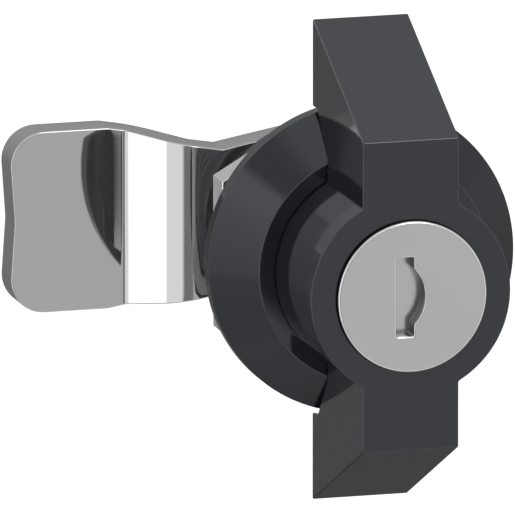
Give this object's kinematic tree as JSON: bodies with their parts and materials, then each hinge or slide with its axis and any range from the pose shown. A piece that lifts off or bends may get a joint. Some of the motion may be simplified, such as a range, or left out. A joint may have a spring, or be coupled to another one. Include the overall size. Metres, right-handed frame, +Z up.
{
  "type": "locking handle",
  "caption": "Wing handle with a key lock and round rosette that turns a cranked cam through a quarter turn behind a sheet metal door.",
  "frame": {"origin": "centre of the rosette's back face, where it lies on the door", "axes": "+Y through the door along the turning axis, away from the user; +Z up along the wing; the cam points to -X at rest"},
  "size_m": [0.046, 0.0475, 0.0498],
  "materials": {
    "slate_plastic": "glossy",
    "seal_rubber": "matte",
    "nut_steel": "satin",
    "zinc": "satin",
    "screw_steel": "satin",
    "cam_steel": "bright",
    "satin_steel": "satin",
    "plug_brass": "satin"
  },
  "bodies": {
    "housing": {"housing": "slate_plastic", "door_seal": "seal_rubber", "mounting_nut": "nut_steel"},
    "handle": {"handle": "slate_plastic", "lock_sleeve": "zinc", "spindle": "zinc", "spindle_screw": "screw_steel", "hub_o_ring": "seal_rubber", "thrust_washer": "nut_steel", "circlip": "screw_steel", "cam": "cam_steel", "cam_washer": "screw_steel", "cam_screw": "screw_steel"},
    "plug": {"plug_cap": "satin_steel", "key_plug": "plug_brass", "plug_clip": "screw_steel", "shutter_pin": "screw_steel", "shutter_spring": "screw_steel", "wafer_springs": "screw_steel"},
    "shutter": {"keyway_shutter": "satin_steel"},
    "wafers": {"key_wafers": "plug_brass"},
    "bolt": {"locking_bolt": "zinc"}
  },
  "joints": [
    {"name": "handle_turn", "type": "hinge", "parent": "housing", "child": "handle", "pos_m": [0, 0, 0], "axis": [0, 1, 0], "range_deg": [0, 90]},
    {"name": "plug_turn", "type": "hinge", "parent": "handle", "child": "plug", "pos_m": [0, -0.019, 0], "axis": [0, 1, 0], "range_deg": [0, 90]},
    {"name": "bolt_slide", "type": "slide", "parent": "handle", "child": "bolt", "axis": [0, 0, 1], "range_m": [0, 0.0015]},
    {"name": "wafer_slide", "type": "slide", "parent": "plug", "child": "wafers", "axis": [0, 0, 1], "range_m": [0, 0.0006], "deforming": ["wafer_springs"]},
    {"name": "shutter_swing", "type": "hinge", "parent": "plug", "child": "shutter", "pos_m": [-0.00275, -0.018, 0], "axis": [0, 0, 1], "range_deg": [0, 86], "stiffness_Nm_per_rad": 0.00002, "springref_deg": -34.38, "deforming": ["shutter_spring"]}
  ],
  "couplings": [
    {"joint": "plug_turn", "follows": "bolt_slide", "rad_per_m": 1047.2}
  ]
}
